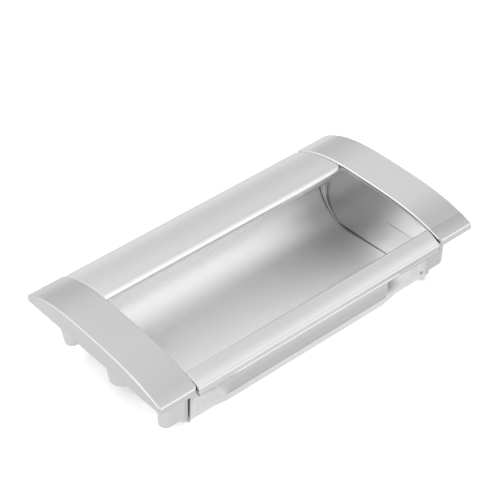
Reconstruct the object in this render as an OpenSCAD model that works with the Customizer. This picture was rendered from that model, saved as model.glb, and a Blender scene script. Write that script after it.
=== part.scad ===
// Recessed pull handle: one drawn aluminium trough between two cast end caps.
// X runs along the handle, +Y is the side of the overhanging finger lip, +Z points out of the panel.
// The origin lies at the centre in plan, on the panel's face, where the trough's lips sit.

/* [Overall size] */
// Length over both end caps
body_l = 78; // [72:1:160]
// Width across the flanges
body_w = 45; // [44:0.5:48]
// Height of the crown above the corners of the cap plates, from which all depths are given
crown_h = 3.8; // [3:0.1:4.6]
// How far the crown leans its top toward the finger lip side
crown_lean = 0.8; // [0:0.1:1]
// Steepness of the crown's shoulders
crown_power = 3.1; // [2.4:0.1:4]
// Depth of the trough's lips below the plate corners, down to the seat
lip_h = 2.4; // [2.2:0.05:2.8]

/* [Drawn trough] */
// Wall of the trough and of the lips
wall = 1.4; // [1:0.05:1.5]
// Thickness of the flanges
flange_t = 1.5; // [1.2:0.05:1.8]
// How far the trough's flanges lie below the cap plates
step_down = 0.3; // [0.2:0.05:0.6]
// Depth of the trough below the plate corners, at the back
trough_h = 12.7; // [11:0.1:16]
// Rise of the trough's floor from the back to the front
floor_rise = 0.7; // [0:0.1:0.9]
// Distance of the back wall's inner face from the centreline
back_wall_y = 15; // [14:0.1:15.6]
// Radius of the floor's back corner
back_r = 8.5; // [5:0.1:9]
// Distance of the finger lip's nose from the centreline
nose_y = 7.2; // [5:0.1:9]
// Thickness of the finger lip's rounded nose
nose_d = 2.9; // [2:0.1:3.2]
// Width of the narrow front flange
front_flange_w = 3.8; // [3:0.1:4.2]
// Lean of the front wall
front_lean = 10; // [6:1:14]
// Radius of the floor's front corner
front_r = 0.8; // [0.6:0.1:1.5]

/* [End caps] */
// Length of a cap's plate
cap_l = 8.8; // [8.6:0.1:12]
// Depth of a cap's rim below the plate corners
cap_rim_h = 1.4; // [1.2:0.05:2]
// Thickness of a cap's plate and rim
cap_t = 1.1; // [0.9:0.05:1.3]
// Radius of the plate's corners beside the trough
cap_corner_r = 0.9; // [0.6:0.1:2]
// Radius of the plate's outer corners
cap_end_r = 0.3; // [0.2:0.1:1]
// Gap between a plate's inner edge and the trough's flange
cap_gap = 0.2; // [0.1:0.05:0.3]
// Set-back of the cap's legs from the end of the plate
leg_setback = 3.1; // [2.8:0.1:3.4]
// Thickness of a leg
leg_t = 3.2; // [2.6:0.1:4]
// Depth of legs and post below the plate corners
leg_h = 11; // [10:0.1:11.4]
// How far the legs' faces lie behind the front wall's outer face
leg_inset = 0.5; // [0.3:0.1:0.7]
// Radius of the legs' outer corners
leg_r = 1.5; // [0.6:0.1:1.6]
// Height below the plate corners where the end wall starts to slope
crease_h = 5.1; // [4:0.1:7]
// How far the sloping part of the end wall reaches along the handle
slope_l = 1.3; // [1:0.1:1.5]
// How far a cap's tongues reach into the channels under the flanges
tongue_l = 6; // [4:0.1:10]
// Height of those tongues
tongue_h = 0.95; // [0.7:0.05:1]

/* [Fixing posts] */
// Radius of the round post under each cap
post_r = 3.1; // [2.9:0.05:3.2]
// Depth of the post below the plate corners
post_h = 10.8; // [10:0.1:11.4]
// Radius of the tapped hole in the post
hole_r = 1.25; // [1:0.05:1.3]
// Depth of the tapped hole
hole_h = 8; // [6:0.5:8.5]

/* [Hidden] */
half_l = body_l / 2;
half_w = body_w / 2;
trough_half_l = half_l - cap_l;
plate_x = trough_half_l + cap_gap;
leg_x = half_l - leg_setback;
post_x = leg_x - post_r;
hole_x = post_x + 0.8;
wall_in_x = trough_half_l + slope_l;
wall_out_x = wall_in_x + cap_t;
front_y = -half_w + front_flange_w;
crown_n = 56;
edge_r = 0.4;
fillet_r = 1.5;
play = 0.05;
beyond = 3 * (trough_h + crown_h);
eps = 0.01;

// The crown over the width: a flat middle, steep shoulders and a slight lean.
function crown(y) = let (u = y / half_w)
    crown_h * (1 - pow(abs(u), crown_power)) + crown_lean * u * (1 - u * u);

// Height of the trough's own skin, which lies a step below the cap plates.
function skin(y) = crown(y) - step_down;

// Points along a curve given by a start, an end and a number of steps.
function along(a, b, n) = [for (i = [0:n]) a + (b - a) * i / n];
function crown_line(a, b, n, drop) = [for (y = along(a, b, n)) [y, crown(y) - drop]];
function arc(c, r, a, b, n) =
    [for (t = along(a, b, n)) [c[0] + r * cos(t), c[1] + r * sin(t)]];

// The trough's inner corners, shared by the drawn trough and the cast ends.
back_c = [back_wall_y - back_r, -trough_h + back_r];
floor_front = -trough_h + floor_rise;
front_c_z = floor_front + front_r;
front_top_z = skin(front_y) - edge_r;
front_rise = front_top_z - (front_c_z - front_r * sin(front_lean));
front_c = [front_y + front_rise * tan(front_lean) + front_r * cos(front_lean), front_c_z];

// Where the front wall's outer face stands at a given height.
function front_face(z) =
    front_c[0] - (front_r + wall) / cos(front_lean) - (z - front_c[1]) * tan(front_lean);
leg_y = -front_face(-leg_h) - leg_inset;

// One side of the trough's wall, from the front up to a height, over the floor, to the back.
function trough_line(grow, front_z, back_z) =
    let (r1 = front_r + grow, r2 = back_r + grow)
    let (foot = [front_c[0] - r1 * cos(front_lean), front_c[1] - r1 * sin(front_lean)])
    concat(
        [[foot[0] - (front_z - foot[1]) * tan(front_lean), front_z]],
        arc(front_c, r1, 180 + front_lean, 270, 10),
        arc(back_c, r2, 270, 360, 20),
        [[back_wall_y + grow, back_z]]
    );

// Cross-section of the drawn trough with its two flanges and lips.
module trough_section() {
    nose_c = [nose_y + nose_d / 2, skin(nose_y + nose_d / 2) - nose_d / 2];
    under_back = skin(back_wall_y - fillet_r) - flange_t;
    lip_y = half_w - wall;
    front_outer = trough_line(wall, skin(front_y - 1) - flange_t, 0)[0];
    polygon(concat(
        [[half_w, -lip_h]],
        arc([half_w - edge_r, skin(half_w - edge_r) - edge_r], edge_r, 0, 62, 5),
        crown_line(half_w - edge_r * 1.4, nose_c[0] + 0.2, 24, step_down),
        arc(nose_c, nose_d / 2, 90, 262, 16),
        [[nose_c[0] + nose_d * 0.5, skin(nose_c[0] + nose_d * 0.5) - flange_t]],
        [[back_wall_y - fillet_r, under_back]],
        arc([back_wall_y - fillet_r, under_back - fillet_r], fillet_r, 90, 0, 7),
        [for (p = [1:len(back_to_front()) - 1]) back_to_front()[p]],
        arc([front_y - edge_r, skin(front_y) - edge_r], edge_r, 0, 60, 5),
        crown_line(front_y - edge_r * 1.4, -half_w + edge_r * 1.4, 10, step_down),
        arc([-half_w + edge_r, skin(-half_w + edge_r) - edge_r], edge_r, 118, 180, 5),
        [[-half_w, -lip_h], [-lip_y, -lip_h], [-lip_y, skin(-lip_y) - flange_t]],
        trough_line(wall, front_outer[1], skin(back_wall_y + wall) - flange_t),
        crown_line(back_wall_y + wall + 0.5, lip_y, 8, step_down + flange_t),
        [[lip_y, -lip_h]]
    ));
}

function back_to_front() =
    let (line = trough_line(0, front_top_z, 0), n = len(line))
    [for (i = [n - 1:-1:0]) line[i]];

// Cross-section of the hand's space, open upward.
module hollow_section(grow, top) {
    polygon(trough_line(grow, top, top));
}

module drawn_trough() {
    color([0.8, 0.81, 0.82])
        translate([-trough_half_l, 0, lip_h])
            rotate([90, 0, 90])
                linear_extrude(trough_half_l * 2)
                    trough_section();
}

// Section of a cap's plate under its crown.
module crown_section(drop, side, foot) {
    polygon(concat(
        [[side, foot]],
        crown_line(side, -side, crown_n, drop),
        [[-side, foot]]
    ));
}

// A plan outline with one radius at each end.
module plan(x0, x1, w, r0, r1) {
    union() {
        translate([x0 + r0, -w])
            square([x1 - x0 - r0 - r1, w * 2]);
        for (e = [[x0, r0, 0], [x1, r1, 1]]) {
            translate([e[0] - e[2] * e[1], -w + e[1]])
                square([e[1], w * 2 - e[1] * 2]);
            for (y = [-w + e[1], w - e[1]])
                translate([e[0] + (1 - 2 * e[2]) * e[1], y])
                    circle(e[1], $fn = 48);
        }
    }
}

module prism_x(x0, x1) {
    translate([x0, 0, 0])
        rotate([90, 0, 90])
            linear_extrude(x1 - x0)
                children();
}

// The outline that the end wall keeps along the handle, seen from the side.
module end_wall_side(grow, top) {
    rotate([90, 0, 0])
        linear_extrude(body_w + beyond, center = true)
            polygon([
                [trough_half_l - eps, -beyond],
                [trough_half_l + grow + (grow > 0 ? 0 : 0.1), -beyond],
                [trough_half_l + grow + 0.1, -trough_h - grow],
                [wall_in_x + grow, -crease_h],
                [wall_in_x + grow, top],
                [trough_half_l - eps, top]
            ]);
}

// The thin plate with its rim, hollow from below.
module cap_plate() {
    difference() {
        intersection() {
            prism_x(plate_x, half_l)
                crown_section(0, half_w, -cap_rim_h);
            linear_extrude(beyond, center = true)
                plan(plate_x, half_l, half_w, cap_corner_r, cap_end_r);
        }
        prism_x(plate_x + cap_t, half_l - cap_t)
            crown_section(cap_t, half_w - cap_t, -cap_rim_h - 1);
    }
}

// The legs at the two corners, which lean as the trough's front wall does.
module cap_legs() {
    for (s = [-1, 1])
        intersection() {
            multmatrix([
                [1, 0, 0, 0],
                [0, 1, s * tan(front_lean), s * (leg_y - leg_t / 2 + leg_h * tan(front_lean))],
                [0, 0, 1, 0],
                [0, 0, 0, 1]
            ])
                translate([0, 0, -leg_h])
                    linear_extrude(leg_h + crown_h)
                        plan(trough_half_l, leg_x, leg_t / 2, 0.01, leg_r);
            prism_x(trough_half_l + cap_gap / 2, leg_x)
                crown_section(cap_t / 2, half_w, -leg_h);
        }
}

module cap_post() {
    intersection() {
        translate([post_x, 0, -post_h])
            cylinder(h = post_h + crown_h, r = post_r, $fn = 64);
        prism_x(trough_half_l, half_l)
            crown_section(cap_t / 2, half_w, -post_h);
    }
}

// Tongues that reach into the channels between the trough's walls and its lips.
module cap_tongues() {
    lip_in = half_w - wall - play;
    front_in = front_face(-lip_h + tongue_h);
    back_in = back_wall_y + wall;
    // Each side: the tongue's two edges, then the edges of the riser that joins it to the end wall.
    for (y = [[-lip_in, front_in - play, -lip_in, front_in + wall],
              [back_in + play, lip_in, back_wall_y, lip_in]]) {
        translate([trough_half_l - tongue_l, y[0], -lip_h])
            cube([tongue_l + cap_gap + cap_t, y[1] - y[0], tongue_h]);
        translate([plate_x, y[2], -lip_h])
            cube([cap_t, y[3] - y[2], lip_h - cap_rim_h + edge_r]);
    }
}

module end_cap() {
    difference() {
        union() {
            cap_plate();
            intersection() {
                prism_x(trough_half_l, wall_out_x)
                    hollow_section(wall - leg_inset, crown_h * 2);
                end_wall_side(cap_t, crown_h * 2);
                prism_x(trough_half_l, wall_out_x)
                    crown_section(cap_t / 2, half_w, -beyond);
            }
            cap_legs();
            cap_post();
            cap_tongues();
        }
        intersection() {
            prism_x(trough_half_l - 1, wall_in_x + 1)
                hollow_section(0, crown_h * 2);
            end_wall_side(0, crown_h * 2);
            prism_x(trough_half_l - 1, wall_in_x + 1)
                crown_section(cap_t, half_w, -beyond);
        }
        translate([hole_x, 0, -post_h - eps])
            cylinder(h = hole_h, r = hole_r, $fn = 64);
    }
}

module right_cap() {
    color([0.72, 0.73, 0.75])
        translate([0, 0, lip_h])
            end_cap();
}

module left_cap() {
    color([0.72, 0.73, 0.75])
        translate([0, 0, lip_h])
            mirror([1, 0, 0])
                end_cap();
}

drawn_trough();
left_cap();
right_cap();
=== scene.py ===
# %% [markdown]
# A recessed pull handle in Blender.
# The real object is one length of drawn aluminium trough, closed at each end by a cast cap
# with a bright satin plate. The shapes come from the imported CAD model, which stays where it
# is. This script rounds the edges, gives the two metals their finish, and sets up a small
# studio round them.

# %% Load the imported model
import math
import bmesh
import bpy
from mathutils import Matrix, Vector


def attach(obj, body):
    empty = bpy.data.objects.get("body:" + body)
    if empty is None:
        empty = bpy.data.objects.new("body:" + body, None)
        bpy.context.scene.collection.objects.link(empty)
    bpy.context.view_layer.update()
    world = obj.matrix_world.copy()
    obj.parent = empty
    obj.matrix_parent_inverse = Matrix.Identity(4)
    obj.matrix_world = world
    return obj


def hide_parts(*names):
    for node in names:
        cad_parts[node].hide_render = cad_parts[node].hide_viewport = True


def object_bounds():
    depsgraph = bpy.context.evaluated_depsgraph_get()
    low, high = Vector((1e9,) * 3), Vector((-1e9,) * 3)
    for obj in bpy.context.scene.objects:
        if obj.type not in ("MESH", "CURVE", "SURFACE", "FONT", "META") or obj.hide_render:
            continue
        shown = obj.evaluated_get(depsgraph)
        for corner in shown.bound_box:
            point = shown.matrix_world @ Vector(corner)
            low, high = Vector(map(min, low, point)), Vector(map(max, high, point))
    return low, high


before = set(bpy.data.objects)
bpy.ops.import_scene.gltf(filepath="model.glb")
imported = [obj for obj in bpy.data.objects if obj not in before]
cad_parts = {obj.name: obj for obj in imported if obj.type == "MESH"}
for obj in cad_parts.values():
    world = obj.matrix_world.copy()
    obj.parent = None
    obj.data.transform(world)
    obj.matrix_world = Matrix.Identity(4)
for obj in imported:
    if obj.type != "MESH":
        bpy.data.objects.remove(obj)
cad_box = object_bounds()
MM = 0.001
SEAT = 2.4    # how far the plates' corners stand above the panel, which is height 0
print("CAD box in mm:", [[round(v / MM, 2) for v in corner] for corner in cad_box])


# %% [markdown]
# Shader maths is easier to read as plain expressions. One small class wraps a socket, so
# that `1 - mask * 0.5` adds the Math nodes by itself. Everything else goes through one
# method that makes any node from its type, its settings and its inputs.

# %% A socket that can be calculated with
class Wire:
    """An output socket of a node."""

    def __init__(self, graph, socket):
        self.graph, self.socket = graph, socket

    def maths(self, operation, *values):
        return self.graph.node("ShaderNodeMath", {"operation": operation}, dict(enumerate(values)))

    def __add__(self, other):
        return self.maths("ADD", self, other)

    def __sub__(self, other):
        return self.maths("SUBTRACT", self, other)

    def __rsub__(self, other):
        return self.maths("SUBTRACT", other, self)

    def __mul__(self, other):
        return self.maths("MULTIPLY", self, other)

    def __abs__(self):
        return self.maths("ABSOLUTE", self)

    __radd__, __rmul__ = __add__, __mul__


# %% A node tree that is filled by calls
class Graph:
    """node() makes any node: its type, its settings, the values or links of its sockets."""

    def __init__(self, tree):
        self.tree = tree
        self.tree.nodes.clear()

    def node(self, kind, settings=None, inputs=None, output=0):
        made = self.tree.nodes.new(kind)
        for name, value in (settings or {}).items():
            setattr(made, name, value)
        for name, value in (inputs or {}).items():
            if isinstance(value, Wire):
                self.tree.links.new(value.socket, made.inputs[name])
            else:
                made.inputs[name].default_value = value
        return Wire(self, made.outputs[output]) if len(made.outputs) else None

    def mix(self, factor, a, b):
        """A colour between a and b."""
        return self.node("ShaderNodeMix", {"data_type": "RGBA"}, {0: factor, 6: a, 7: b}, output=2)


# %% [markdown]
# Where a finish changes, a mask says so: a number that is 1 in one place and 0 in another.
# It could be painted as a picture, but here each mask is worked out from the place on the
# handle, so it is sharp at any size. A mask is a product of soft edges, and an edge is a pair
# of numbers in millimetres, where the change begins and where it is complete.

# %% Soft edges
def ramp(value, edge, start, end):
    """Change smoothly from one level to another across an edge, and hold both outside it."""
    return value.graph.node("ShaderNodeMapRange", {"interpolation_type": "SMOOTHSTEP"},
                            {0: value, 1: edge[0], 2: edge[1], 3: start, 4: end})


def above(value, edge, full=1.0):
    """0 below an edge, full above it."""
    return ramp(value, edge, 0.0, full)


def below(value, edge, full=1.0):
    """Full below an edge, 0 above it."""
    return ramp(value, edge, full, 0.0)


# %% [markdown]
# Both metals start from the same idea: a metal has no colour of its own apart from what it
# reflects, so nearly all of the look is in how sharp the reflection is. A Principled shader
# at full metallic with a middling roughness is a satin metal. What makes it look made, and
# not computed, is small: draw lines along the trough, a fine mottle on the casting, and
# places where the finish changes because a tool has or hasn't touched them. Some places
# also carry painted shade and painted light in their colour.

# %% Helpers for both metals
def grey(level):
    return (level, level, level, 1)


def part(vector, letter):
    """The X, Y or Z of a vector."""
    return vector.graph.node("ShaderNodeSeparateXYZ", {}, {0: vector}, output=letter)


def start_metal(name):
    """A new material, its node tree, and the place in millimetres: whole, and as x, y and z."""
    material = bpy.data.materials.new(name)
    material.use_nodes = True
    g = Graph(material.node_tree)
    place = g.node("ShaderNodeTexCoord", output="Object")
    in_mm = g.node("ShaderNodeVectorMath", {"operation": "SCALE"}, {0: place, "Scale": 1 / MM})
    return material, g, in_mm, [part(in_mm, letter) for letter in "XYZ"]


def noise(in_mm, cells, detail=2.0):
    """Cloudy noise between 0 and 1, with so many cells to a millimetre along each axis."""
    grain = in_mm.graph.node("ShaderNodeMapping", {}, {"Vector": in_mm, "Scale": cells})
    return in_mm.graph.node("ShaderNodeTexNoise", {},
                            {"Vector": grain, "Scale": 1.0, "Detail": detail})


def finish_metal(g, tone, roughness, relief=None):
    """The shader itself; relief is the height of the finest scratches, in millimetres."""
    inputs = {"Base Color": g.mix(tone, grey(0.0), grey(1.0)), "Metallic": 1.0,
              "Roughness": roughness}
    if relief is not None:
        inputs["Normal"] = g.node("ShaderNodeBump", {},
                                  {"Height": relief, "Distance": MM, "Strength": 1.0})
    shader = g.node("ShaderNodeBsdfPrincipled", {}, inputs)
    g.node("ShaderNodeOutputMaterial", {}, {"Surface": shader})


# %% [markdown]
# Drawn aluminium carries fine lines along its length, where the die has marked it. On the front
# wall a band between the caps keeps the rougher skin of the die, and painted shade darkens it
# toward its foot. Toward the caps the wall has been pressed back and rubbed, so it is cloudy and
# smoother there. The foot of the front wall carries a painted reflection of the white floor, and
# the hollow is rougher than the outside and painted paler, as painted light.

# %% Satin aluminium: where its finish, its painted light and its painted shade change
satin_aluminium, g, in_mm, (x, y, z) = start_metal("satin_aluminium")
WALL_FACE, WALL_FOOT, WALL_TOP = (-16.4, -16.0), (-8.3, -8.0), (-0.1, -0.02)
BAND_LEFT, BAND_RIGHT = (-22.6, -20.4), (19.15, 19.45)
HOLLOW_TOP, HOLLOW_FRONT, HOLLOW_BACK = (3.2, 3.8), (-18.6, -18.3), (15.1, 15.3)
front = below(y, WALL_FACE)
between = above(x, BAND_LEFT) * below(x, BAND_RIGHT)
on_wall = above(z, WALL_FOOT) * below(z, WALL_TOP)
band = front * between * on_wall
rubbing = front * on_wall * (1 - between)
hollow = below(z, HOLLOW_TOP) * above(y, HOLLOW_FRONT) * below(y, HOLLOW_BACK)
print("satin aluminium: masks for the die's band, the rubbed ends and the hollow")

# %% Satin aluminium: draw lines, clouds, rubbing, and painted light, shade and reflection
BAND_SHADE, FOOT_REFLECTION_TOP, FOOT_REFLECTION_FRONT = (-8.5, -4.0), (-8.4, -8.1), (-15.5, -15.0)
lines = noise(in_mm, (0.05, 5.0, 5.0), 3.0)
cloud = noise(in_mm, (0.16, 0.16, 0.16))
rubbed = noise(in_mm, (0.9, 0.9, 0.7), 3.0)
# Painted light: the hollow is painted 0.16 paler than the outside.
tone = 0.78 + lines * 0.03 + cloud * 0.02 + hollow * 0.16
# Painted shade darkens the band toward its foot, where the wall mirrors the floor in the handle's
# shadow; the rubbed ends only vary at random.
tone = tone - band * below(z, BAND_SHADE, 0.3) + rubbing * (rubbed * 0.30 - 0.15)
# Painted reflection: the foot of the front wall is lightened, as if it mirrored the white floor below.
tone = tone + below(z, FOOT_REFLECTION_TOP, 0.22) * below(y, FOOT_REFLECTION_FRONT)
print("satin aluminium: draw lines, clouds, rubbed ends")

# %% Satin aluminium: the front lip and the flanges, with painted light and shade
LIP_FACE, LIP_FOOT, LIP_TOP = (-22.25, -22.15), (0.5, 0.6), (1.2, 1.4)
EDGE_FACE, BEAD_EDGE, LIP_SHADE_SPAN = (-22.15, -22.05), (0.6, 0.8), (0.0, 24.0)
RIM_FRONT, RIM_BACK, RIM_FOOT = (-19.06, -18.96), (-18.6, -18.5), (2.4, 2.6)
RIM_SHADE_SPAN, FLANGE_FRONT, FLANGE_FOOT = (-30.0, 10.0), (8.6, 9.6), (3.0, 3.6)
lip = below(y, LIP_FACE) * above(z, LIP_FOOT) * below(z, LIP_TOP)
edge_shade = below(y, EDGE_FACE) * (1 - lip)
# Painted light and shade: the lip's face is lighter along the left half and darker toward the right
# end.
tone = tone + lip * (0.06 - above(x, LIP_SHADE_SPAN, 0.16))
# Painted shade dims the highlights of the lip's top edge and of the bead at its foot, more so near the
# caps.
tone = tone - edge_shade * (0.1 + (1 - between) * below(z, BEAD_EDGE, 0.15))
# Painted shade along the front flange's inner rim, where it turns down into the hollow, deeper toward
# the right.
rim_shade = above(y, RIM_FRONT) * below(y, RIM_BACK) * above(z, RIM_FOOT)
tone = tone - rim_shade * ramp(x, RIM_SHADE_SPAN, 0.2, 0.4)
tone = tone + above(y, FLANGE_FRONT) * above(z, FLANGE_FOOT, 0.035)
print("satin aluminium: bright lip, dark edges, paler back flange")

# %% Satin aluminium: die marks, and painted shade on the cut ends and near the right cap
LINE_SOFT, LINE_BACK, CUT_END, CUT_SHADE_TOP = (0.05, 0.13), (12.0, 13.0), (30.17, 30.19), (2.0, 2.4)
DIMPLE_X, DIMPLE_Z = 29.3, -7.7
for mark_z, strength in ((-3.7, 0.05), (-4.5, 0.07), (-5.2, 0.04)):
    tone = tone - below(abs(z - mark_z), LINE_SOFT, strength) * above(y, LINE_BACK)
# Painted shade on the trough's cut ends, in the gap between the trough and the caps.
tone = tone - above(abs(x), CUT_END) * below(z, CUT_SHADE_TOP, 0.4)
# Painted shade in the pressed dimple near the right cap, and under the lip beside the band's right end.
dimple = below(abs(x - DIMPLE_X), (0.25, 0.6)) * below(abs(z - DIMPLE_Z), (0.2, 0.45))
beside_band = above(x, (19.4, 19.6)) * below(x, (19.6, 24.0))
beside_band = beside_band * above(z, (-9.0, -6.0)) * below(z, (-3.2, -1.0), 0.5)
tone = tone - front * (dimple * 0.5 + beside_band)
print("satin aluminium: three die marks, cut ends, a dimple and the shade beside the band")

# %% [markdown]
# The long soft highlight in the hollow comes from scratches too fine to see, all along the
# handle. A shader can stretch its highlight by itself, but that needs a direction on the
# surface. Noise that is two hundred times finer across than along, fed through Bump to the
# normal, does the same and survives the export.

# %% Satin aluminium: how sharply it reflects
roughness = 0.26 + lines * 0.05 - rubbing * 0.06 + hollow * 0.18
scratches = noise(in_mm, (0.03, 6.0, 6.0), 1.0)
finish_metal(g, tone, roughness, scratches * (hollow * 0.03))
print("satin aluminium:", len(g.tree.nodes), "nodes")

# %% [markdown]
# The caps are cast and plated. Their outside is polished to a finer satin than the trough,
# with a faint mottle from the casting. The wall that closes the hollow is a little rougher, and
# it carries painted shade, which clears toward the front corner as painted light.

# %% Plated casting: where its finish and its painted shade change
plated_casting, g, in_mm, (x, y, z) = start_metal("plated_casting")
across = abs(x)
facing = g.node("ShaderNodeNewGeometry", output="Normal")
lying = abs(part(facing, "Z"))
WALL_OUT, WALL_IN, PLATE_REACH = (31.6, 31.7), (30.24, 30.26), (0.5, 1.5)
inside = below(across, WALL_OUT) * below(lying, (0.6, 0.8))
inside = inside * above(across - above(z, PLATE_REACH, 0.7), WALL_IN)
inside = inside * below(y, (15.2, 15.6)) * above(part(facing, "Y"), (-0.7, -0.4))
print("plated casting: a mask for the end walls, by place and by the way they face")

# %% Plated casting: mottle, and painted shade and light on the shoulders, the plates and the left leg
PLATE_LIGHT_ENDS, SHOULDER_ENDS = (-36.0, 36.0), (-36.0, 30.0)
LIT_LEFT_LEG, LEG_TOP = (-31.5, -31.0), (-0.6, -0.2)
mottle = noise(in_mm, (2.6, 2.6, 2.6), 3.0)
cloud = noise(in_mm, (0.12, 0.12, 0.12))
# Painted shade on each plate's front shoulder, darkest at its back line and fading toward the front
# edge, deeper on the right cap.
shoulder_shade = above(y, (-22.2, -19.6)) * below(y, (-19.4, -19.2)) * above(z, (2.0, 2.5))
tone = 0.70 + mottle * 0.04 + cloud * 0.02 - shoulder_shade * ramp(x, SHOULDER_ENDS, 0.016, 0.08)
plates = above(y, (-18.0, -10.0)) * above(lying, (0.5, 0.8))
# Painted shade and light: the back of the left plate is darkened, and that of the right plate
# lightened.
tone = tone + plates * ramp(x, PLATE_LIGHT_ENDS, -0.07, 0.05)
# Painted light lightens the left cap below its plate, where its legs stand.
tone = tone + below(x, LIT_LEFT_LEG, 0.1) * below(z, LEG_TOP)
print("plated casting: mottle, darker shoulders, a lighter left leg")

# %% Plated casting: painted shade on the end walls, lighter toward the front corner, darker at the crease and along each seam
CREASE_HEIGHT, CREASE_SOFT = -2.7, (0.08, 0.18)
SEAM, MOUTH_SHADE = (31.34, 31.5), (30.36, 30.39)
corner = above(z * -0.5 - y, (0.0, 13.0))
crease_shade = below(abs(z - CREASE_HEIGHT), CREASE_SOFT, 0.4) * below(y, (-7.0, -4.5))
seam_shade = below(across, SEAM, 0.28) * above(z, (-3.2, -2.7))
# Painted shade darkens the end walls, painted light clears them toward their front corner, and painted
# lines of shade run along the crease and along the seam by the trough.
tone = tone - inside * (0.25 - corner * 0.58 + crease_shade + seam_shade)
# Painted shade on the parts of the cap that lie in the gap behind the trough's ends.
tone = tone - below(across, MOUTH_SHADE, 0.4)
finish_metal(g, tone, 0.17 + mottle * 0.03 + inside * 0.06)
print("plated casting:", len(g.tree.nodes), "nodes")

# %% [markdown]
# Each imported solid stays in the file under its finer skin. It takes the finish of its own
# piece, so it looks right wherever it is shown by itself.

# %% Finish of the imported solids
finish_of = {"drawn_trough": satin_aluminium, "left_cap": plated_casting, "right_cap": plated_casting}
for node, material in finish_of.items():
    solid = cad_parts[node]
    solid.data.materials.clear()
    solid.data.materials.append(material)
    print(node, "gets", material.name)


# %% [markdown]
# Both kinds of part are closed skins made of rings of points: a drawn profile repeats one
# ring along its length, and a cast form stacks rings that step in where an edge is rounded.
# A sharp box with a Bevel modifier could round the edges too, but not by a radius of its own
# for each edge. One small class gathers the rings, and a function turns them into a mesh
# with smooth faces and crisp creases.

# %% A skin made of rings
class Skin:
    """Points and faces of one piece in millimetres, with heights from the plates' corners."""

    def __init__(self):
        self.points, self.faces = [], []

    def stack(self, rings, fill=True):
        """Join rings of equal length, one to the next, and fill the first and the last."""
        first, count = len(self.points), len(rings[0])
        for ring in rings:
            self.points += ring
        for row in range(len(rings) - 1):
            for i in range(count):
                a, b = first + row * count + i, first + row * count + (i + 1) % count
                self.faces.append((a, b, b + count, a + count))
        if fill:
            for start in (first, first + (len(rings) - 1) * count):
                self.faces.append(tuple(start + i for i in range(count)))
        return first

    def ladder(self, start, count):
        """Fill a ring whose second half runs back beside its first half."""
        for i in range(count // 2 - 1):
            a, b = start + i, start + count - 1 - i
            self.faces.append((a, b, b - 1, a + 1))


# %% From a skin to a piece
def smooth(mesh, crease):
    """Smooth faces that face outward; edges that turn by more than the crease stay sharp."""
    work = bmesh.new()
    work.from_mesh(mesh)
    bmesh.ops.recalc_face_normals(work, faces=work.faces)
    for face in work.faces:
        face.smooth = True
    for edge in work.edges:
        edge.smooth = edge.calc_face_angle(0) < math.radians(crease)
    work.to_mesh(mesh)
    work.free()


def make_piece(skin, name, material, node, crease, side=1):
    """Make the Blender object of a skin; side is 1, or -1 for its mirror image."""
    mesh = bpy.data.meshes.new(name)
    mesh.from_pydata([(x * side * MM, y * MM, (z + SEAT) * MM) for x, y, z in skin.points],
                     [], skin.faces)
    mesh.validate()
    smooth(mesh, crease)
    mesh.materials.append(material)
    made = bpy.data.objects.new(name, mesh)
    bpy.context.scene.collection.objects.link(made)
    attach(made, "root")
    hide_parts(node)
    print(name, len(mesh.vertices), "points,", len(mesh.polygons), "faces")


# %% [markdown]
# The trough is a drawn profile: one section, the same all along. In Blender that is a closed
# outline of points, repeated at stations along X and joined by faces. The outline is worked
# out from the same few sizes as the CAD solid, with many more points on its curves, so the
# satin reflections run smoothly over it.

# %% The section's sizes, in millimetres
HALF_W, CROWN, LEAN, POWER = 22.5, 3.8, 0.8, 3.1            # the crowned top
STEP, WALL, FLANGE, WALL_LEAN = 0.3, 1.4, 1.5, math.radians(10)
DEPTH, RISE, BACK_WALL, BACK_R = 12.7, 0.7, 15.0, 8.5       # the hollow, toward the back
NOSE_Y, NOSE_D, FRONT_Y, FRONT_R = 7.2, 2.9, -18.7, 0.8     # the finger lip and the front
ROUND_Y, ROUND_DROP, ROUND_POWER = -20.2, 0.4, 2.6          # the front flange's bend


def crown(y, drop=STEP):
    """Height of the crowned top at y, less a drop."""
    u = y / HALF_W
    return CROWN * (1 - abs(u) ** POWER) + LEAN * u * (1 - u * u) - drop


def front_crown(y):
    """The crown again, bending down faster toward the front edge."""
    bend = max((ROUND_Y - y) / (ROUND_Y + HALF_W), 0)
    return crown(y) - ROUND_DROP * bend ** ROUND_POWER


# %% Points on arcs and lines
def spaced(first, last, steps):
    """Numbers from first to last in equal steps, with both ends."""
    return [first + (last - first) * i / steps for i in range(steps + 1)]


def arc(centre, radius, first, last, steps):
    turns = [math.radians(angle) for angle in spaced(first, last, steps)]
    return [(centre[0] + radius * math.cos(t), centre[1] + radius * math.sin(t)) for t in turns]


def crown_line(first, last, steps, drop):
    return [(y, crown(y, drop)) for y in spaced(first, last, steps)]


def straight(a, b, steps):
    """Points between a and b, without the ends."""
    return list(zip(spaced(a[0], b[0], steps), spaced(a[1], b[1], steps)))[1:-1]


def round_corner(before, corner, after, radius, steps=5):
    """An arc of a radius in place of a sharp corner."""
    p, c, n = (Vector(v) for v in (before, corner, after))
    a, b = (p - c).normalized(), (n - c).normalized()
    half = a.angle(b) / 2
    reach = radius / math.tan(half)
    middle = c + (a + b).normalized() * (radius / math.sin(half))
    start, end = c + a * reach - middle, c + b * reach - middle
    sweep = start.angle_signed(end)
    return [tuple(middle + Matrix.Rotation(-sweep * i / steps, 2) @ start)
            for i in range(steps + 1)]


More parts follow.
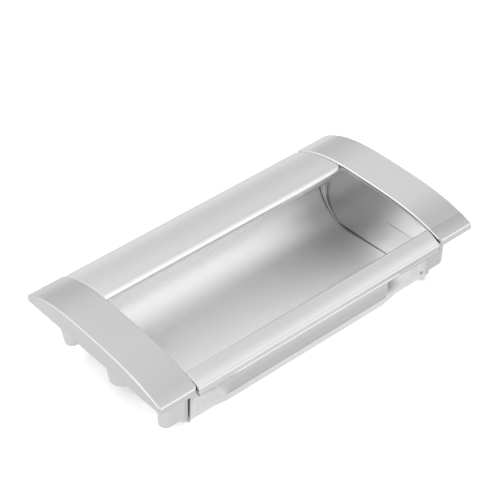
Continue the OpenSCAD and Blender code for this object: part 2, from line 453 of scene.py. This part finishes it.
# %% The hollow's two round corners and the leaning front wall
RIM_DROP = 0.4
front_top = crown(FRONT_Y) - RIM_DROP
front_z = -DEPTH + RISE + FRONT_R
wall_height = front_top - (front_z - FRONT_R * math.sin(WALL_LEAN))
front_y = FRONT_Y + wall_height * math.tan(WALL_LEAN) + FRONT_R * math.cos(WALL_LEAN)
front_c, back_c = (front_y, front_z), (BACK_WALL - BACK_R, -DEPTH + BACK_R)
WALL_TURN = 180 + math.degrees(WALL_LEAN)


def wall_y(grow, z):
    """Where the front wall's face stands at a height, grown outward by its thickness."""
    foot_z = front_c[1] - (FRONT_R + grow) * math.sin(WALL_LEAN)
    foot_y = front_c[0] - (FRONT_R + grow) * math.cos(WALL_LEAN)
    return foot_y - (z - foot_z) * math.tan(WALL_LEAN)


def round_floor(grow, steps, last=360):
    """The hollow's floor from the foot of its front wall round to its back wall."""
    front_arc = arc(front_c, FRONT_R + grow, WALL_TURN, 270, steps)
    return front_arc + arc(back_c, BACK_R + grow, 270, last, 44)


hollow_w = BACK_WALL - wall_y(0, front_top)
print("hollow:", round(hollow_w, 2), "mm from its back wall to the rim of its front wall")

# %% The outline: back lip, flange and finger lip
LIP_FOOT_R, LIP_TOP_R, ROOT_R = 0.25, 0.4, 1.5
CROWN_START, NOSE_OVERLAP = 0.57, 0.2
lip_y = HALF_W - WALL
section = round_corner((lip_y, -SEAT), (HALF_W, -SEAT), (HALF_W, 0), LIP_FOOT_R)
top_z = crown(HALF_W - LIP_TOP_R) - LIP_TOP_R
section += arc((HALF_W - LIP_TOP_R, top_z), LIP_TOP_R, 0, 62, 8)
nose_y = NOSE_Y + NOSE_D / 2
section += crown_line(HALF_W - CROWN_START, nose_y + NOSE_OVERLAP, 70, STEP)
section += arc((nose_y, crown(nose_y) - NOSE_D / 2), NOSE_D / 2, 90, 262, 30)
root = (BACK_WALL - ROOT_R, crown(BACK_WALL - ROOT_R) - FLANGE)
section += straight(section[-1], root, 12)
section += arc((root[0], root[1] - ROOT_R), ROOT_R, 90, 0, 10)
print("back lip to finger lip:", len(section), "points")

# %% The outline: the hollow and the front flange
RIM_R, RIM_TURN, FLANGE_START, FLANGE_END, FRONT_EDGE = 0.3, 70, 0.42, 0.14, 0.1
inner = round_floor(0, 10)
section += straight(section[-1], inner[-1], 8)
section += reversed(inner)
section += straight(section[-1], (wall_y(0, front_top), front_top), 16)
section += arc((FRONT_Y - RIM_R, crown(FRONT_Y) - RIM_R), RIM_R, 0, RIM_TURN, 8)
section += [(y, front_crown(y)) for y in spaced(FRONT_Y - FLANGE_START, -HALF_W + FLANGE_END, 44)]
print("with hollow and front flange:", len(section), "points")

# %% [markdown]
# The front lip shows three fine lines of light in the photograph: a crisp edge, a groove,
# and a small bead at the foot. They are too fine for the solid, so they are drawn here, as
# offsets in millimetres from the groove's place and from the lip's foot.

# %% The outline: the front lip
LIP_TUCK, LIP_EDGE_R, BEAD, BEAD_H = 0.24, 0.12, 0.16, 0.5
GROOVE_Y, GROOVE_Z = 0.09, -0.95
GROOVE = ((0.0, 0.07), (0.05, 0.0), (0.01, -0.07))
BEAD_STEPS = ((0, BEAD_H), (0.25, 0.42), (0.6, 0.34), (0.9, 0.25), (1, 0.16), (0.85, 0.07),
              (0.5, 0.02), (0, 0))    # the part of the bead that stands out, and the height
tuck = -HALF_W + LIP_TUCK
edge_z = front_crown(-HALF_W) - FRONT_EDGE
section += round_corner(section[-1], (-HALF_W, edge_z), (tuck, -SEAT), LIP_EDGE_R)
groove = (-HALF_W + GROOVE_Y, GROOVE_Z)
section += straight(section[-1], groove, 4)
section += [(groove[0] + dy, groove[1] + dz) for dy, dz in GROOVE]
section += straight(section[-1], (tuck, -SEAT + BEAD_H), 5)
section += [(tuck - BEAD * out, -SEAT + height) for out, height in BEAD_STEPS]
print("with front lip:", len(section), "points")

# %% The outline: back under the trough to where it began
outer = round_floor(WALL, 16)
under_front = crown(FRONT_Y - 1) - FLANGE
section += [(-lip_y, -SEAT), (-lip_y, crown(-lip_y) - FLANGE), (wall_y(WALL, under_front), under_front)]
section += straight(section[-1], outer[0], 40) + outer
section += [(BACK_WALL + WALL, crown(BACK_WALL + WALL) - FLANGE)]
section += crown_line(BACK_WALL + WALL + 0.5, lip_y, 10, STEP + FLANGE) + [(lip_y, -SEAT)]
spans = [round(max(numbers) - min(numbers), 2) for numbers in zip(*section)]
print("whole section:", len(section), "points,", spans, "mm")


# %% [markdown]
# The caps are held by pressing the trough's front wall in a little where it covers them.
# A pressed wall is not a new piece, only a place where the points of the wall move inward.
# Each mark is a small function of the place along the handle and the height, and the marks
# are added up before the mesh is made.

# %% Soft steps and humps
def ease(value, low, high):
    """0 below low, 1 above high, smooth between."""
    t = min(max((value - low) / (high - low), 0), 1)
    return t * t * (3 - 2 * t)


def hump(distance, width):
    """1 at no distance, fading out over a width."""
    return math.exp(-(distance / width) ** 2)


def end_zone(x, z):
    """1 where the wall is pressed back near a cap, 0 along the band between."""
    right_edge = 19.2 + 0.35 * hump(z + 6.2, 1.6)
    return ease(x, right_edge - 0.12, right_edge + 0.14) + ease(-x, 21.2, 24.6)


# %% Press marks on the front wall
PRESS, RIGHT_PRESS, SLIT_DEPTH, GROOVE_DEPTH = 0.34, 0.55, 0.10, 0.14
SOFT_MARKS = (    # x and z of the middle, reach along x and z, how far in
    (24.6, -4.6, 1.1, 1.9, 0.10), (-27.2, -3.0, 1.4, 1.1, 0.07), (23.0, -6.0, 0.9, 1.3, -0.08),
    (-24.2, -4.2, 1.5, 1.5, -0.08), (-26.35, -6.6, 0.35, 0.8, 0.12), (29.2, -7.8, 0.5, 0.35, 0.15))
SLIT_X, SLIT_Z, SLIT_SLOPE, SLIT_W = 26.4, -5.1, 0.29, 0.13
GROOVES, GROOVE_W, GROOVE_SOFT = ((27.4, -3.3, -6.4), (28.9, -3.0, -7.3)), 0.17, 0.3


def pressed(x, z):
    """How far the wall is pressed in at x and at height z above the panel, in mm."""
    depth = PRESS * end_zone(x, z) * ease(-z, 0.4, 1.6)
    depth += RIGHT_PRESS * hump(x - 20.8, 1.9) * hump(z + 3.2, 1.5) * ease(x, 19.3, 19.8)
    for mark_x, mark_z, reach_x, reach_z, far in SOFT_MARKS:
        depth += far * hump(x - mark_x, reach_x) * hump(z - mark_z, reach_z)
    slit_z = SLIT_Z + SLIT_SLOPE * (-x - SLIT_X)
    depth += SLIT_DEPTH * ease(-x, SLIT_X, SLIT_X + 0.3) * hump(z - slit_z, SLIT_W)
    for groove_x, top, foot in GROOVES:
        along = ease(-z, -top, -top + GROOVE_SOFT) * ease(z, foot, foot + GROOVE_SOFT)
        depth -= GROOVE_DEPTH * along * hump(x - groove_x, GROOVE_W)
    return depth


# %% Where the bead ends and the foot of the wall lifts
def band_part(x):
    """1 along the band in the middle of the handle, 0 near the caps."""
    return ease(x, -21.8, -21.2) * ease(-x, -19.4, -18.8)


def foot_lift(x):
    """How far the foot of the wall is pushed up toward a cap, in mm."""
    return 0.75 * ease(x, 20.0, 23.5) + 0.25 * ease(-x, 21.0, 24.0)


def reach_out(y, z):
    """1 where the trough's end comes closer to the cap: the flanges' tops, the front lip."""
    return max(ease(z, -0.6, 0.4) * ease(y, -21.5, -18.5), ease(-y, 21.9, 22.2))


# %% [markdown]
# The section is repeated at stations along the handle. They stand close together where the
# press marks are and far apart along the middle, where nothing changes, which keeps the mesh
# light. At each end two last rings step inward, for the small edge that a saw and a brush
# leave.

# %% Stations and outward directions
TROUGH_END, FINE_FROM, FINE_STEP, END_ROOM, EDGE_ROOM = 30.2, 19.0, 0.14, 0.25, 0.16
MIDDLE = 18.0    # half of the stretch along the middle, where nothing changes


def stations():
    """Where the section is repeated along X."""
    fine = [FINE_FROM + FINE_STEP * i for i in range(80)]
    ends = [x for x in fine if x < TROUGH_END - END_ROOM] + [TROUGH_END - EDGE_ROOM]
    return [-x for x in reversed(ends)] + spaced(-MIDDLE, MIDDLE, 18) + ends


def outward(loop):
    """The outward direction at each point of a closed loop."""
    found = []
    for i in range(len(loop)):
        way = (Vector(loop[(i + 1) % len(loop)]) - Vector(loop[i - 1])).normalized()
        found.append(Vector((way.y, -way.x)))
    return found


ways = outward(section)
on_outer_wall = [y < -13 and z < -1.4 and (n.x < -0.05 or n.y < -0.5)
                 for (y, z), n in zip(section, ways)]
print(len(stations()), "stations,", sum(on_outer_wall), "points of the section can be pressed")


# %% Sweep the section
def section_at(x):
    """The section at a station, with its press marks and without the bead near the caps."""
    ring = []
    for (y, z), can_press in zip(section, on_outer_wall):
        if can_press:
            y += pressed(x, z + SEAT) * ease(-y, 14.5, 18.5)
            z += foot_lift(x) * ease(-z, 8.5, 13.0) * ease(-y, 13.5, 17.5)
        elif y < -HALF_W + LIP_TUCK and z < -SEAT + BEAD_H:
            y += (-HALF_W + LIP_TUCK - y) * (1 - band_part(x))
        ring.append((x, y, z))
    return ring


REACH = 0.15
END_RINGS = ((TROUGH_END - 0.06, 0.04), (TROUGH_END, 0.13))    # where, and how far inward
rings = [section_at(x) for x in stations()]
for x, step in END_RINGS:
    end = [(x + REACH * reach_out(y, z), y - n.x * step, z - n.y * step)
           for (y, z), n in zip(section, ways)]
    rings = [[(-far, y, z) for far, y, z in end]] + rings + [end]
trough = Skin()
trough.stack(rings)
make_piece(trough, "drawn_trough_satin", satin_aluminium, "drawn_trough", crease=30)


# %% [markdown]
# An end cap is one casting: a crowned plate with a rim, a wall that closes the trough, two
# legs, a tapped post and two tongues. The CAD part has sharp edges. A casting never has, and
# it is the rounded edges that catch the light. So each form is built here as a stack of
# rings, one ring a little inside the next, which gives every edge its own radius.
#
# In plan the plate is a rectangle with small round corners. A ring of it can be drawn at any
# inset, and a rounded edge is then a few rings that step inward while they step up.

# %% Rounded edges
CORNER = 13    # points round a quarter turn


def quarter(steps=CORNER - 1):
    """Angles from 0 to 90 degrees, in radians."""
    return spaced(0, math.pi / 2, steps)


def rounding(radius):
    """Round a quarter turn, a distance that shrinks to 0 beside one that grows from 0."""
    return [(radius * (1 - math.sin(t)), radius * (1 - math.cos(t))) for t in quarter()]


# %% The plate's outline
CAP_GAP = 0.2
PLATE_X, END_X = TROUGH_END + CAP_GAP, 39.0
CAP_T, RIM_H, CORNER_R, END_R = 1.1, 1.4, 0.9, 0.3
SHARP, SIDE_STEPS = 0.02, 90


def plate_ring(inset, height):
    """Outline of the plate drawn in by an inset; height is a function of y and the side."""
    sides = []
    for x, inward, radius in ((PLATE_X, 1, CORNER_R), (END_X, -1, END_R)):
        r = max(radius - inset, SHARP)
        cx, cy = x + inward * (inset + r), HALF_W - inset - r
        turn = [(cx - inward * r * math.sin(t), r * math.cos(t)) for t in quarter(10)]
        side = [(px, -cy - dy) for px, dy in turn]
        side += [(cx - inward * r, -cy * math.cos(math.pi * i / SIDE_STEPS))
                 for i in range(1, SIDE_STEPS)]
        side += [(px, cy + dy) for px, dy in reversed(turn)]
        sides.append([(px, py, height(py, inward > 0)) for px, py in side])
    return sides[0] + sides[1][::-1]


def under(drop):
    """The crown less a drop, as a height for plate_ring."""
    return lambda y, inner: crown(y, drop)


def over_rim(rise):
    """A rise over the rim's foot, as a height; over the hollow the inner side has no rim."""
    def height(y, inner):
        hollow_part = ease(y, FRONT_Y - 1.0, FRONT_Y - 0.6)
        hollow_part *= ease(-y, -BACK_WALL - 0.2, -BACK_WALL)
        return -RIM_H + (crown(y, CAP_T) + RIM_H) * hollow_part * inner + rise
    return height


# %% The plate
TOP_R, FOOT_R, TRAY_R, FLAT = 0.28, 0.15, 0.3, 0.06


def plate(cap):
    tray = CAP_T + 0.05    # how far in the hollow under the plate begins
    rings = [plate_ring(tray + TRAY_R + FLAT, under(CAP_T))]
    rings += [plate_ring(tray + near, under(CAP_T + far)) for near, far in rounding(TRAY_R)]
    rings += [plate_ring(tray - far, over_rim(near)) for near, far in rounding(FOOT_R)]
    rings += [plate_ring(near, over_rim(far)) for near, far in rounding(FOOT_R)]
    rings += [plate_ring(far, under(near)) for near, far in rounding(TOP_R)]
    rings.append(plate_ring(TOP_R + FLAT, under(0)))
    count = len(rings[0])
    first = cap.stack(rings, fill=False)
    cap.ladder(first, count)
    cap.ladder(first + (len(rings) - 1) * count, count)


# %% [markdown]
# The wall that closes the trough is a shallow cup whose mouth has the trough's own section,
# so it starts from the same outline. Its floor, the end wall, stands upright above and leans
# inward below, with a small fillet all round.

# %% The end wall's outline
CREASE_Z, UPRIGHT_X, SLOPE = -5.1, 31.5, 1.2
FILLET, FILLET_FLAT, MOUTH_X, MOUTH_R = 0.14, 0.05, TROUGH_END + CAP_GAP, 0.06
BURIED, BURIED_SLOPE, MOUTH_TOP, MOUTH_IN = 0.55, 0.2, 1.0, 0.6


def end_x(z):
    """Where the end wall's inner face stands at a height."""
    return UPRIGHT_X - SLOPE * min(max((CREASE_Z - z) / (DEPTH + CREASE_Z), 0), 1)


def mouth(grow):
    """The trough's section as a closed loop, grown by a distance; its top lies in the plate."""
    crease_at = (CREASE_Z - back_c[1]) / (BACK_R - FILLET - FILLET_FLAT)
    fold = 360 + math.degrees(math.asin(crease_at))
    loop = round_floor(grow, 10, fold) + arc(back_c, BACK_R + grow, fold, 360, 4)[1:]
    top_y, lift = BACK_WALL + grow, grow * BURIED_SLOPE
    front_high, front_crease = ((wall_y(grow, z), z) for z in (MOUTH_TOP, CREASE_Z))
    back_top = (top_y, crown(top_y, BURIED) + lift)
    loop += straight(loop[-1], back_top, 8) + [back_top]
    top = crown_line(top_y - MOUTH_IN, front_high[0] + MOUTH_IN, 40, BURIED)
    loop += [(y, z + lift) for y, z in top] + [front_high]
    loop += straight(front_high, front_crease, 6) + [front_crease]
    return loop + straight(front_crease, loop[0], 6)


# %% The end wall
CUP_T, FOLD_OVERLAP = 0.8, 0.12


def cup(cap):
    def ring(grow, depth):
        return [(depth(z), y, z) for y, z in mouth(grow)]

    def behind(distance):
        return lambda z: end_x(z) + distance

    def at_mouth(distance):
        return lambda z: MOUTH_X + distance

    rings = [ring(CUP_T, behind(CAP_T)), ring(CUP_T, at_mouth(0))]
    rings += [ring(near, at_mouth(far)) for near, far in rounding(MOUTH_R)]
    rings += [ring(-far, behind(-near)) for near, far in rounding(FILLET)]
    rings.append(ring(-FILLET - FILLET_FLAT, behind(0)))
    first = cap.stack(rings, fill=False)
    for row in (0, len(rings) - 1):
        start = first + row * len(rings[0])
        upper = [start + i for i, p in enumerate(rings[row]) if p[2] > CREASE_Z - FOLD_OVERLAP]
        lower = [start + i for i, p in enumerate(rings[row]) if p[2] < CREASE_Z + FOLD_OVERLAP]
        cap.faces += [tuple(upper), tuple(lower)]


# %% [markdown]
# Four legs hold the cap square in the panel's opening. They are upright blocks with a rounded
# foot, made like the plate from rings that step in. The legs lean as the trough's front wall
# does, so their rings shift sideways with height, and the front ones step back round the
# hollow, so that no corner of a leg shows inside it.

# %% Blocks and rounded feet
def block_ring(low, high, radii, inset, z):
    """A rectangle with a radius at its low-x and its high-x corners, drawn in by an inset."""
    ring = []
    for x, inward, radius in ((low[0], 1, radii[0]), (high[0], -1, radii[1])):
        r = max(radius - inset, SHARP)
        turn = [(x + inward * (inset + r - r * math.sin(t)), r * math.cos(t)) for t in quarter()]
        lo_y, hi_y = low[1] + inset + r, high[1] - inset - r
        side = [(px, lo_y - dy) for px, dy in turn] + [(px, hi_y + dy) for px, dy in reversed(turn)]
        ring.append(side)
    return [(x, y, z) for x, y in ring[0] + ring[1][::-1]]


def foot_rings(shape, foot, radius):
    """Rings of a form from the middle of its foot up to where its rounded edge ends."""
    return [shape(radius + 0.05, foot)] + [shape(near, foot + far) for near, far in rounding(radius)]


# %% Legs
LEG_X, LEG_T, LEG_H, LEG_R, LEG_IN_R, LEG_FOOT_R = 35.9, 3.2, 11.0, 1.5, 0.25, 0.4
LEG_Y, LEG_HEIGHTS = -wall_y(WALL, -LEG_H) - 0.5, (-8, -4, -2, 0.4)
BEND = 6    # the point of a front leg's inner corner where it turns back behind the wall


def beside_hollow(ring):
    """Step a front leg back to behind the end wall, apart from what lies in the front wall."""
    start_x, inmost = ring[CORNER - 1][0], ring[2 * CORNER - 1][1]
    behind = UPRIGHT_X + 0.3
    made = list(ring)
    for i in range(CORNER):
        z = ring[CORNER + i][2]
        edge = wall_y(0, z) - 0.05
        if i <= BEND:
            made[CORNER + i] = (start_x + (behind - start_x) * i / BEND, edge, z)
        else:
            back = (i - BEND) / (CORNER - 1 - BEND)
            made[CORNER + i] = (behind, edge + (inmost - edge) * back, z)
    return made


def legs(cap):
    low, high = (TROUGH_END + 0.1, -LEG_T / 2), (LEG_X, LEG_T / 2)

    def shape(inset, z):
        return block_ring(low, high, (LEG_IN_R, LEG_R), inset, z)

    rings = foot_rings(shape, -LEG_H, LEG_FOOT_R) + [shape(0, z) for z in LEG_HEIGHTS]
    for side in (-1, 1):
        leaned = []
        for ring in rings:
            away = LEG_Y - LEG_T / 2 + (ring[0][2] + LEG_H) * math.tan(WALL_LEAN)
            leaned.append([(x, y + side * away, z) for x, y, z in ring])
        cap.stack([beside_hollow(ring) for ring in leaned] if side < 0 else leaned)


# %% [markdown]
# Between the legs stands a round post with a tapped hole, which takes the screw that holds
# the handle in its panel. A cylinder with a hole cut by a Boolean would do. Rings that come
# down the outside, close in on the hole and go up into it give the same form in one skin,
# with a rounded foot and a small countersink.

# %% The post with its tapped hole
POST_X, POST_R, POST_H, POST_FOOT_R, POST_TOP = 32.8, 3.1, 10.8, 0.35, 0.6
HOLE_X, HOLE_R, HOLE_H, SINK = 33.6, 1.25, 8.0, 0.25
ROUND_STEPS = 96


def circle(x, radius, z):
    """A ring round the post's middle, kept behind the end wall."""
    turns = [2 * math.pi * i / ROUND_STEPS for i in range(ROUND_STEPS)]
    return [(max(x + radius * math.cos(t), UPRIGHT_X + 0.4), radius * math.sin(t), z)
            for t in turns]


def post(cap):
    rings = foot_rings(lambda inset, z: circle(POST_X, POST_R - inset, z), -POST_H, POST_FOOT_R)
    down = [circle(POST_X, POST_R, crown(POST_R, POST_TOP))] + rings[:0:-1]
    hole = [circle(HOLE_X, HOLE_R + SINK, -POST_H), circle(HOLE_X, HOLE_R, -POST_H + SINK),
            circle(HOLE_X, HOLE_R, -POST_H + HOLE_H)]
    cap.stack(down + hole)


# %% [markdown]
# Each cap has two flat tongues that lie in the channels under the trough's flanges and keep
# the pieces in line, each with a short rib that ties it to the plate. Four rings are enough
# for a tongue: one drawn in at each face, so that its long edges are broken, as a file would.

# %% Tongues and the ribs behind them
TONGUE_L, TONGUE_H, TONGUE_R, TONGUE_EDGE, PLAY = 6, 0.95, 0.2, 0.15, 0.05


def tongues(cap):
    lip_in, front_in = HALF_W - WALL - PLAY, wall_y(WALL, -SEAT + TONGUE_H)
    back_in = BACK_WALL + WALL
    for y0, y1, rib_y0, rib_y1 in ((-lip_in, front_in - PLAY, -lip_in, front_in + WALL),
                                   (back_in + PLAY, lip_in, BACK_WALL, lip_in)):
        low, high, radii = (TROUGH_END - TONGUE_L, y0), (UPRIGHT_X, y1), (TONGUE_R, TONGUE_R)
        cap.stack([block_ring(low, high, radii, inset, -SEAT + height) for inset, height in
                   ((TONGUE_EDGE, 0), (0, TONGUE_EDGE), (0, 0.8), (TONGUE_EDGE, TONGUE_H))])
        low, high = (PLATE_X, rib_y0), (PLATE_X + CAP_T, rib_y1)
        cap.stack([block_ring(low, high, (0.05, 0.05), 0, z) for z in (-SEAT + 0.1, -1.0)])


# %% Both end caps
def end_cap(name, node, side):
    cap = Skin()
    for form in (plate, cup, legs, post, tongues):
        form(cap)
    make_piece(cap, name, plated_casting, node, crease=9, side=side)


end_cap("right_cap_plated", "right_cap", 1)
end_cap("left_cap_plated", "left_cap", -1)


# %% [markdown]
# A satin metal is mostly a picture of the room, so the light matters as much as the metal.
# The photograph shows a white sheet below, a wide bright screen behind on the left, open
# light low in front, and a dim room behind the camera and on the right. Lamps of a fixed
# outline would leave hard shapes in the metal. So the world itself is the studio: a plain
# level with a few soft patches added to it or taken from it, each with a direction and a
# reach.

# %% Soft patches of the studio's dome
PLAIN_LEVEL, EXPOSURE = 0.935, 1.15
PATCHES = (    # azimuth, height and reach in degrees, and what the patch adds or takes
    (-122, 50, 38, 0.47), (14, 14, 26, 0.38), (0, 90, 26, 0.08),
    (-45, 34, 30, -0.9), (104, 60, 24, -0.4), (148, 14, 28, -0.4))


def toward(azimuth, height):
    """The direction of a place on the dome; azimuth 0 is in front and 90 on the right."""
    a, h = math.radians(azimuth), math.radians(height)
    return (math.sin(a) * math.cos(h), -math.cos(a) * math.cos(h), math.sin(h))


def patch(way, azimuth, height, reach):
    """1 in the middle of a soft patch of the dome, fading to about a third at its reach."""
    near = way.graph.node("ShaderNodeVectorMath", {"operation": "DOT_PRODUCT"},
                          {0: way, 1: toward(azimuth, height)}, output="Value")
    tight = 1 / (1 - math.cos(math.radians(reach)))
    return near.maths("EXPONENT", (near - 1.0) * tight)


# %% The studio's light
world = bpy.data.worlds.new("studio")
bpy.context.scene.world = world
world.use_nodes = True
g = Graph(world.node_tree)
way = g.node("ShaderNodeTexCoord", output="Generated")
light = PLAIN_LEVEL
for azimuth, height, reach, strength in PATCHES:
    light = light + patch(way, azimuth, height, reach) * strength
camera_ray = g.node("ShaderNodeLightPath", output="Is Camera Ray")
level = g.node("ShaderNodeMix", {"data_type": "FLOAT"}, {0: camera_ray, 2: light * EXPOSURE, 3: 1.0})
dome = g.node("ShaderNodeBackground", {}, {"Color": grey(1.0), "Strength": level})
g.node("ShaderNodeOutputWorld", {}, {"Surface": dome})
print("dome: one plain level and", len(PATCHES), "soft patches")

# %% [markdown]
# The floor is one sheet of white paper, right under the trough, on which the handle rests.
# To the camera it is a little over white, which hides everything but the object's shadow.
# The metal sees it somewhat dimmer, as real paper is beside a lit screen.

# %% The floor
PAPER, PAPER_SEEN, GLOW, GLOW_PART, SHEET_SIZE = 0.85, 1.7, 0.85, 0.6, 6
floor_z = cad_box[0].z
bpy.ops.mesh.primitive_plane_add(size=SHEET_SIZE, location=(0, 0, floor_z))
floor = bpy.context.object
floor.name = "floor"
paper = bpy.data.materials.new("white_paper")
paper.use_nodes = True
g = Graph(paper.node_tree)
camera_ray, glossy_ray = (g.node("ShaderNodeLightPath", output=name)
                          for name in ("Is Camera Ray", "Is Glossy Ray"))
seen = g.mix(camera_ray, grey(PAPER), grey(PAPER_SEEN))
sheet = g.node("ShaderNodeBsdfDiffuse", {}, {"Color": seen})
glow = g.node("ShaderNodeEmission", {}, {"Color": grey(1.0), "Strength": GLOW})
surface = g.node("ShaderNodeMixShader", {}, {0: glossy_ray * GLOW_PART, 1: sheet, 2: glow})
g.node("ShaderNodeOutputMaterial", {}, {"Surface": surface})
floor.data.materials.append(paper)
print("floor at", round(floor_z / MM, 2), "mm")

# %% [markdown]
# The camera stands where the photograph was taken from: in front on the left, and high. Its
# place, turn and lens were worked out from the object's outline in the picture. The lens is
# a long one, so lines that are parallel on the handle nearly stay so.

# %% Camera
LENS, SENSOR = 115.85, 36
CAMERA_PLACE, CAMERA_TURN = (-0.14329, -0.20683, 0.20086), (51.887, 4.959, -38.584)
lens_data = bpy.data.cameras.new("camera")
lens_data.sensor_width, lens_data.lens = SENSOR, LENS
lens_data.clip_start, lens_data.clip_end = 0.01, 10
camera = bpy.data.objects.new("camera", lens_data)
bpy.context.scene.collection.objects.link(camera)
camera.location = CAMERA_PLACE
camera.rotation_euler = [math.radians(angle) for angle in CAMERA_TURN]
bpy.context.scene.camera = camera
print("camera:", round(camera.location.length / MM), "mm away, lens", LENS)

# %% [markdown]
# The view transform is Standard, so a colour comes out as it is written. The hollow reflects
# itself several times over, so the light may bounce eight times between shiny faces.

# %% Finish
bpy.context.scene.view_settings.view_transform = "Standard"
bpy.context.scene.cycles.glossy_bounces = 8
